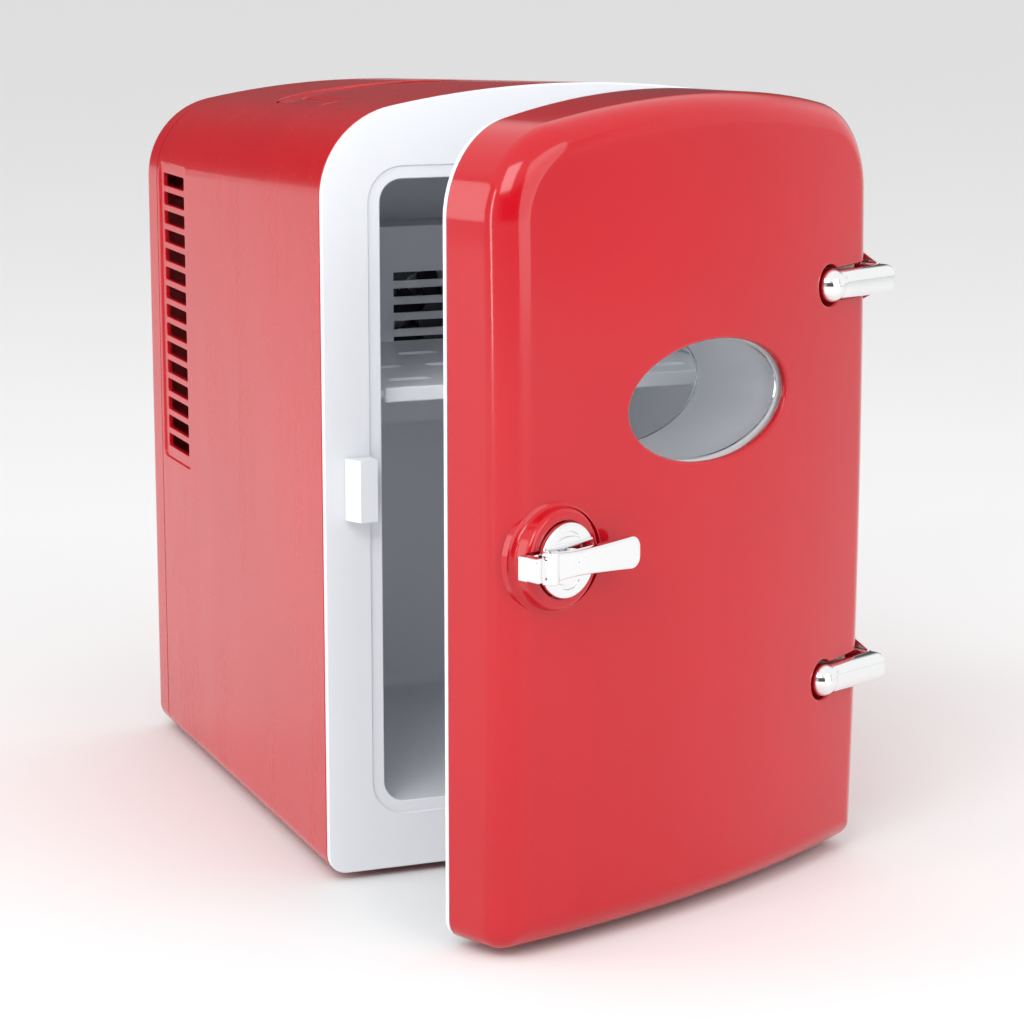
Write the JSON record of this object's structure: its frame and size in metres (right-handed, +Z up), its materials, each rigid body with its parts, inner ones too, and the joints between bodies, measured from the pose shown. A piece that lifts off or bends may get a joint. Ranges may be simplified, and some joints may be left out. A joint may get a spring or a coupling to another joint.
{
  "type": "mini fridge",
  "caption": "Retro countertop mini fridge, arched red case, bowed hinged door with oval window and chrome lever latch, shelf, flush carrying handle, thermoelectric cooler with fans behind.",
  "frame": {"origin": "on the floor, under the middle of the bounding box of the whole fridge with its door standing open at its rest angle", "axes": "+Z up, +Y from the cabinet front towards its back, +X to the right of a person who faces the door"},
  "size_m": [0.2064, 0.3576, 0.283],
  "materials": {
    "red_shell": "moulded red, glossy",
    "white_plastic": "cool white moulding",
    "liner_plastic": "light grey vacuum-formed sheet",
    "foam": "expanded foam beads",
    "black_plastic": "black moulding",
    "foot_rubber": "dark rubber",
    "gasket_rubber": "soft grey magnetic seal",
    "chrome": "bright plated",
    "steel": "zinc-plated",
    "aluminium": "extruded, plain",
    "ceramic": "white ceramic faces",
    "circuit_board": "green board with black components",
    "clear_pane": "clear acrylic"
  },
  "bodies": {
    "cabinet": {"cabinet_shell": "red_shell", "rear_cover": "red_shell", "front_frame": "white_plastic", "latch_keeper": "white_plastic", "inner_liner": "liner_plastic", "chamber_grille": "liner_plastic", "cabinet_insulation": "foam", "chamber_fan_frame": "black_plastic", "exhaust_fan_frame": "black_plastic", "mains_socket": "black_plastic", "dc_socket": "black_plastic", "switch_housing": "black_plastic", "foot_1": "foot_rubber", "foot_2": "foot_rubber", "foot_3": "foot_rubber", "foot_4": "foot_rubber", "hinge_leaf_1": "chrome", "hinge_leaf_2": "chrome", "handle_pin_1": "steel", "handle_pin_2": "steel", "fan_screw_1": "steel", "fan_screw_2": "steel", "fan_screw_3": "steel", "fan_screw_4": "steel", "cover_screw_1": "steel", "cover_screw_2": "steel", "cover_screw_3": "steel", "cover_screw_4": "steel", "hinge_pin_1": "steel", "hinge_pin_2": "steel", "hinge_screw_1": "steel", "hinge_screw_2": "steel", "hinge_screw_3": "steel", "hinge_screw_4": "steel", "cold_sink": "aluminium", "cold_block": "aluminium", "heat_sink": "aluminium", "cooling_module": "ceramic", "control_board": "circuit_board"},
    "door": {"door_shell": "red_shell", "door_liner": "white_plastic", "door_gasket": "gasket_rubber", "door_insulation": "foam", "window_sleeve": "white_plastic", "window_pane_outer": "clear_pane", "window_pane_inner": "clear_pane", "latch_plate": "chrome", "latch_pin": "steel", "latch_spring": "steel", "hinge_arm_1": "chrome", "hinge_arm_2": "chrome"},
    "latch_lever": {"latch_lever": "chrome", "latch_hook": "white_plastic"},
    "carry_handle": {"carry_handle": "red_shell"},
    "shelf": {"shelf": "white_plastic"},
    "chamber_fan_rotor": {"chamber_fan_rotor": "black_plastic"},
    "exhaust_fan_rotor": {"exhaust_fan_rotor": "black_plastic"},
    "switch_rocker": {"switch_rocker": "black_plastic"}
  },
  "joints": [
    {"name": "door_swing", "type": "hinge", "parent": "cabinet", "child": "door", "pos_m": [0.08882, -0.06369, 0.143], "axis": [0, 0, 1], "range_deg": [-24, 100]},
    {"name": "latch_pull", "type": "hinge", "parent": "door", "child": "latch_lever", "pos_m": [-0.06519, -0.17409, 0.1364], "axis": [0, 0, -1], "range_deg": [0, 10], "stiffness_Nm_per_rad": 0.25, "springref_deg": -5.73},
    {"name": "handle_fold", "type": "hinge", "parent": "cabinet", "child": "carry_handle", "pos_m": [-0.00918, 0.01471, 0.26907], "axis": [1, 0, 0], "range_deg": [0, 90]},
    {"name": "shelf_slide", "type": "slide", "parent": "cabinet", "child": "shelf", "axis": [0, -1, 0], "range_m": [0, 0.01]},
    {"name": "chamber_fan_spin", "type": "hinge", "parent": "cabinet", "child": "chamber_fan_rotor", "pos_m": [-0.00918, 0.08131, 0.181], "axis": [0, 1, 0], "continuous": true},
    {"name": "exhaust_fan_spin", "type": "hinge", "parent": "cabinet", "child": "exhaust_fan_rotor", "pos_m": [-0.00918, 0.14631, 0.181], "axis": [0, 1, 0], "continuous": true},
    {"name": "mode_switch", "type": "hinge", "parent": "cabinet", "child": "switch_rocker", "pos_m": [0.03282, 0.17481, 0.037], "axis": [0, 0, 1], "range_deg": [-12, 12]}
  ]
}
